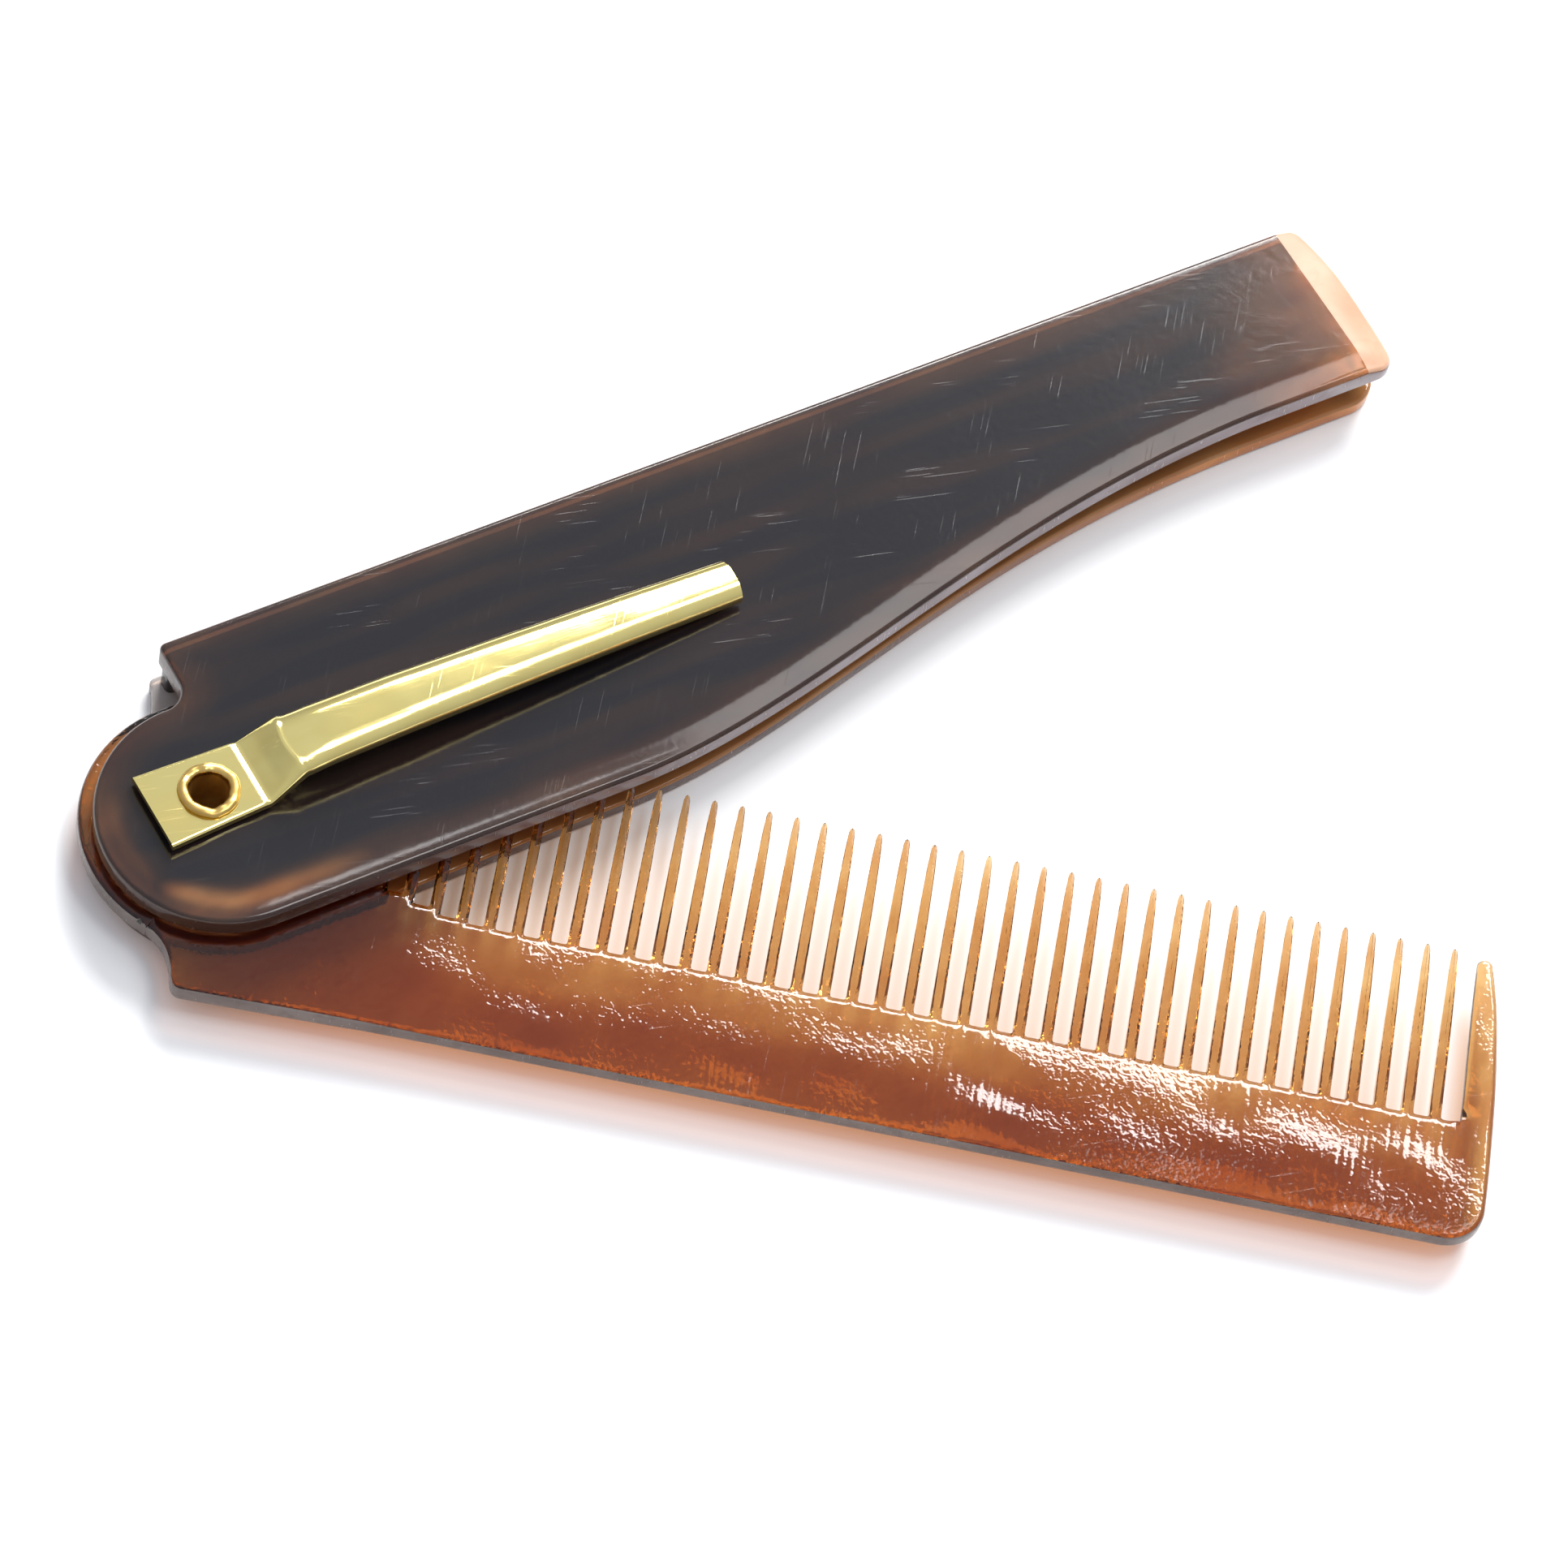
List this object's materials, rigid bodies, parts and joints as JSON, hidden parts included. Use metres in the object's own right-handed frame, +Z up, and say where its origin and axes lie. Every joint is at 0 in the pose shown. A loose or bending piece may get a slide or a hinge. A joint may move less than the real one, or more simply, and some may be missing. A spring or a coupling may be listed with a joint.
{
  "type": "folding comb",
  "caption": "Folding comb: a fine-toothed blade that turns on a hollow rivet out of a slotted two-plate handle with a springy pocket clip.",
  "frame": {"origin": "middle of the open comb's bounding box, on the surface it lies on", "axes": "+X along the handle towards its far end, +Y towards the handle's back, +Z up through the rivet"},
  "size_m": [0.108, 0.079, 0.0092],
  "materials": {
    "blade_plastic": "polished translucent amber brown",
    "handle_plastic": "polished dark brown, translucent where thin",
    "clip_brass": "polished",
    "rivet_brass": "rolled, slightly rough"
  },
  "bodies": {
    "handle": {"handle_top_plate": "handle_plastic", "handle_bottom_plate": "handle_plastic", "spine_strip": "handle_plastic", "pocket_clip": "clip_brass", "pivot_rivet": "rivet_brass"},
    "comb": {"comb_blade": "blade_plastic"}
  },
  "joints": [
    {"name": "fold", "type": "hinge", "parent": "handle", "child": "comb", "pos_m": [-0.04465, 0.02645, 0], "axis": [0, 0, 1], "range_deg": [-143.2, 36.8]}
  ]
}
